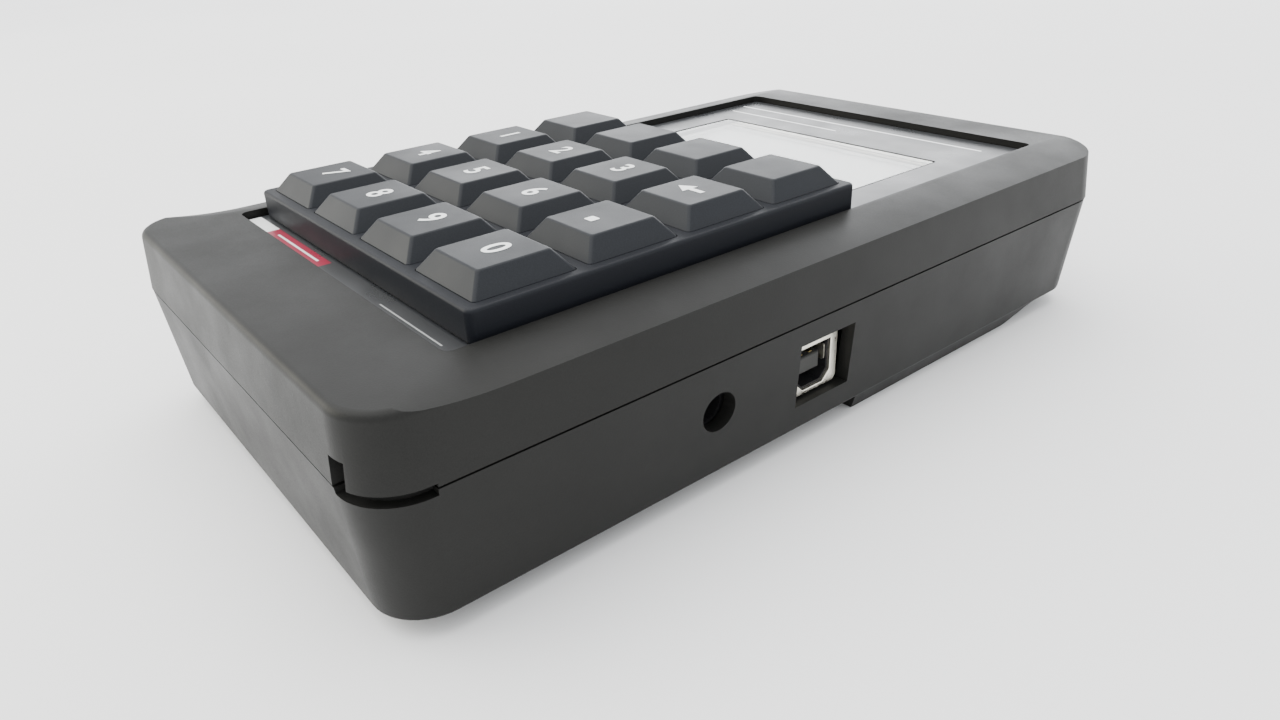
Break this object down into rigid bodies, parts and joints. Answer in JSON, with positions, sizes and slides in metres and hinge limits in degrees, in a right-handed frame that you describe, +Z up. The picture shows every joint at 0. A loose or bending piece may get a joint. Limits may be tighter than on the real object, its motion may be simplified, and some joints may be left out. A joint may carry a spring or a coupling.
{
  "type": "hand-held keypad signal simulator",
  "caption": "Hand-held electronic instrument case with a display window, a numeric keypad of square keys, side sockets for data and power and a sliding battery door.",
  "frame": {"origin": "middle of the case, on the surface that it rests on", "axes": "+X operator's right (side with the sockets), +Y from the operator's end to the display end, +Z up out of the keys"},
  "size_m": [0.102, 0.17, 0.0423],
  "materials": {
    "case_plastic": "fine moulded texture",
    "panel_sheet": "satin, slightly glossy",
    "key_plastic": "satin",
    "frame_plastic": "satin",
    "window_clear": "polished, clear",
    "display_glass": "polished, pale backing",
    "steel": "plated",
    "board_green": "solder mask",
    "black_plastic": "moulded",
    "rubber": "dull",
    "silicone": "dull, translucent",
    "cell_sleeve": null
  },
  "bodies": {
    "case": {"bottom_shell": "case_plastic", "top_shell": "case_plastic", "front_panel": "panel_sheet", "keypad_frame": "frame_plastic", "display_window": "window_clear", "display_glass": "display_glass", "display_bezel": "steel", "usb_shell": "steel", "dc_jack_pin": "steel", "contact_plate_front": "steel", "contact_plate_back": "steel", "spacer_1": "steel", "spacer_2": "steel", "spacer_3": "steel", "spacer_4": "steel", "board_screw_1": "steel", "board_screw_2": "steel", "board_screw_3": "steel", "board_screw_4": "steel", "battery_spring_1": "steel", "battery_spring_2": "steel", "battery_spring_3": "steel", "battery_spring_4": "steel", "case_screw_1": "steel", "case_screw_2": "steel", "case_screw_3": "steel", "case_screw_4": "steel", "display_board": "board_green", "keypad_board": "board_green", "main_board": "board_green", "processor": "black_plastic", "keypad_header": "black_plastic", "display_header": "black_plastic", "usb_tongue": "black_plastic", "dc_jack_body": "black_plastic", "foot_left": "rubber", "foot_right": "rubber", "dome_mat": "silicone", "battery_1": "cell_sleeve", "battery_2": "cell_sleeve", "battery_3": "cell_sleeve", "battery_4": "cell_sleeve"},
    "key_7_body": {"key_7": "key_plastic"},
    "key_8_body": {"key_8": "key_plastic"},
    "key_9_body": {"key_9": "key_plastic"},
    "key_0_body": {"key_0": "key_plastic"},
    "key_4_body": {"key_4": "key_plastic"},
    "key_5_body": {"key_5": "key_plastic"},
    "key_6_body": {"key_6": "key_plastic"},
    "key_point_body": {"key_point": "key_plastic"},
    "key_1_body": {"key_1": "key_plastic"},
    "key_2_body": {"key_2": "key_plastic"},
    "key_3_body": {"key_3": "key_plastic"},
    "key_back_body": {"key_back": "key_plastic"},
    "key_f1_body": {"key_f1": "key_plastic"},
    "key_f2_body": {"key_f2": "key_plastic"},
    "key_f3_body": {"key_f3": "key_plastic"},
    "key_f4_body": {"key_f4": "key_plastic"},
    "door_body": {"battery_door": "case_plastic"}
  },
  "joints": [
    {"name": "key_7_press", "type": "slide", "parent": "case", "child": "key_7_body", "axis": [0, 0, -1], "range_m": [0, 0.0015], "stiffness_N_per_m": 1000},
    {"name": "key_8_press", "type": "slide", "parent": "case", "child": "key_8_body", "axis": [0, 0, -1], "range_m": [0, 0.0015], "stiffness_N_per_m": 1000},
    {"name": "key_9_press", "type": "slide", "parent": "case", "child": "key_9_body", "axis": [0, 0, -1], "range_m": [0, 0.0015], "stiffness_N_per_m": 1000},
    {"name": "key_0_press", "type": "slide", "parent": "case", "child": "key_0_body", "axis": [0, 0, -1], "range_m": [0, 0.0015], "stiffness_N_per_m": 1000},
    {"name": "key_4_press", "type": "slide", "parent": "case", "child": "key_4_body", "axis": [0, 0, -1], "range_m": [0, 0.0015], "stiffness_N_per_m": 1000},
    {"name": "key_5_press", "type": "slide", "parent": "case", "child": "key_5_body", "axis": [0, 0, -1], "range_m": [0, 0.0015], "stiffness_N_per_m": 1000},
    {"name": "key_6_press", "type": "slide", "parent": "case", "child": "key_6_body", "axis": [0, 0, -1], "range_m": [0, 0.0015], "stiffness_N_per_m": 1000},
    {"name": "key_point_press", "type": "slide", "parent": "case", "child": "key_point_body", "axis": [0, 0, -1], "range_m": [0, 0.0015], "stiffness_N_per_m": 1000},
    {"name": "key_1_press", "type": "slide", "parent": "case", "child": "key_1_body", "axis": [0, 0, -1], "range_m": [0, 0.0015], "stiffness_N_per_m": 1000},
    {"name": "key_2_press", "type": "slide", "parent": "case", "child": "key_2_body", "axis": [0, 0, -1], "range_m": [0, 0.0015], "stiffness_N_per_m": 1000},
    {"name": "key_3_press", "type": "slide", "parent": "case", "child": "key_3_body", "axis": [0, 0, -1], "range_m": [0, 0.0015], "stiffness_N_per_m": 1000},
    {"name": "key_back_press", "type": "slide", "parent": "case", "child": "key_back_body", "axis": [0, 0, -1], "range_m": [0, 0.0015], "stiffness_N_per_m": 1000},
    {"name": "key_f1_press", "type": "slide", "parent": "case", "child": "key_f1_body", "axis": [0, 0, -1], "range_m": [0, 0.0015], "stiffness_N_per_m": 1000},
    {"name": "key_f2_press", "type": "slide", "parent": "case", "child": "key_f2_body", "axis": [0, 0, -1], "range_m": [0, 0.0015], "stiffness_N_per_m": 1000},
    {"name": "key_f3_press", "type": "slide", "parent": "case", "child": "key_f3_body", "axis": [0, 0, -1], "range_m": [0, 0.0015], "stiffness_N_per_m": 1000},
    {"name": "key_f4_press", "type": "slide", "parent": "case", "child": "key_f4_body", "axis": [0, 0, -1], "range_m": [0, 0.0015], "stiffness_N_per_m": 1000},
    {"name": "battery_door_slide", "type": "slide", "parent": "case", "child": "door_body", "axis": [0, 1, 0], "range_m": [0, 0.063]}
  ]
}
